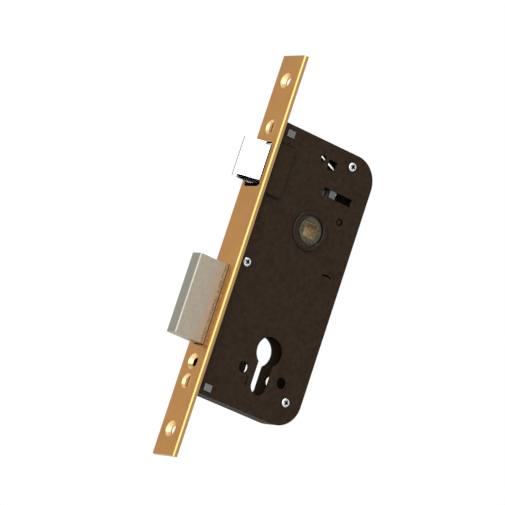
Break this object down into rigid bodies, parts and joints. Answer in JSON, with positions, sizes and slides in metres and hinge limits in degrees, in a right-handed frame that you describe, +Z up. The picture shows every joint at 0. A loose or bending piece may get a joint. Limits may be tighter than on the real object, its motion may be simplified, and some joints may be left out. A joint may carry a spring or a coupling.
{
  "type": "mortise lock",
  "caption": "Mortise lock: brass faceplate, dark steel case, bevelled spring latch worked by a square spindle follower, square deadbolt and a euro-profile cylinder cut-out.",
  "frame": {"origin": "middle of the faceplate's front face", "axes": "+X into the door (backset direction), +Z up along the faceplate, Y across the door's thickness with the screwed cover on the -Y side; rest pose: latch out, deadbolt thrown"},
  "size_m": [0.0921, 0.022, 0.235],
  "materials": {
    "brass": "brushed along its length",
    "brown_case": "satin baked paint",
    "zinc": "bright zinc plate",
    "steel": "zinc-plated steel",
    "spring_wire": "drawn wire",
    "black_nylon": "moulded",
    "yellow_zinc": "yellow passivated casting",
    "chrome": "polished plate",
    "satin_nickel": "satin nickel plate"
  },
  "bodies": {
    "case": {"faceplate": "brass", "faceplate_screws": "brass", "case_tray": "brown_case", "cover_plate": "brown_case", "cover_pillars": "steel", "cover_screws": "zinc", "upper_lug": "steel", "lower_lug": "steel", "follower_bushes": "black_nylon", "follower_spring": "spring_wire", "spring_post": "brown_case", "latch_guide": "steel", "latch_spring": "spring_wire", "latch_spring_post": "steel", "latch_spring_stop": "steel", "bolt_guide_post": "steel", "detent_spring": "spring_wire", "lever_post": "steel"},
    "latch": {"latch_head": "chrome", "latch_tail": "steel", "latch_rivet": "steel", "latch_guide_pin": "zinc"},
    "spindle_follower": {"follower": "yellow_zinc", "follower_pin": "steel", "follower_spring_arm": "spring_wire"},
    "latch_spring_leg": {"latch_spring_arm": "spring_wire"},
    "deadbolt": {"bolt_head": "satin_nickel", "bolt_tail": "steel", "bolt_rivets": "steel"},
    "changeover": {"changeover_lever": "steel"},
    "detent": {"detent_lever": "steel", "detent_spring_arm": "spring_wire"}
  },
  "joints": [
    {"name": "latch_slide", "type": "slide", "parent": "case", "child": "latch", "axis": [1, 0, 0], "range_m": [0, 0.0104], "stiffness_N_per_m": 500, "springref_m": -0.012},
    {"name": "follower_turn", "type": "hinge", "parent": "case", "child": "spindle_follower", "pos_m": [0.042, 0, 0.0292], "axis": [0, 1, 0], "range_deg": [0, 34.6]},
    {"name": "latch_spring_swing", "type": "hinge", "parent": "case", "child": "latch_spring_leg", "pos_m": [0.06051, -0.0023, 0.065], "axis": [0, 1, 0], "range_deg": [-53.2, 0]},
    {"name": "changeover_turn", "type": "hinge", "parent": "case", "child": "changeover", "pos_m": [0.06, -0.0033, -0.006], "axis": [0, 1, 0], "range_deg": [-11.4, 0]},
    {"name": "bolt_throw", "type": "slide", "parent": "case", "child": "deadbolt", "axis": [1, 0, 0], "range_m": [0, 0.0195]},
    {"name": "detent_swing", "type": "hinge", "parent": "case", "child": "detent", "pos_m": [0.06, 0.0031, -0.006], "axis": [0, 1, 0], "range_deg": [0, 6.7]}
  ],
  "couplings": [
    {"joint": "follower_turn", "follows": "latch_slide", "rad_per_m": 58.019},
    {"joint": "latch_spring_swing", "follows": "latch_slide", "rad_per_m": -89.112},
    {"joint": "changeover_turn", "follows": "latch_slide", "rad_per_m": -18.994},
    {"joint": "detent_swing", "follows": "bolt_throw", "rad_per_m": 5.907}
  ]
}
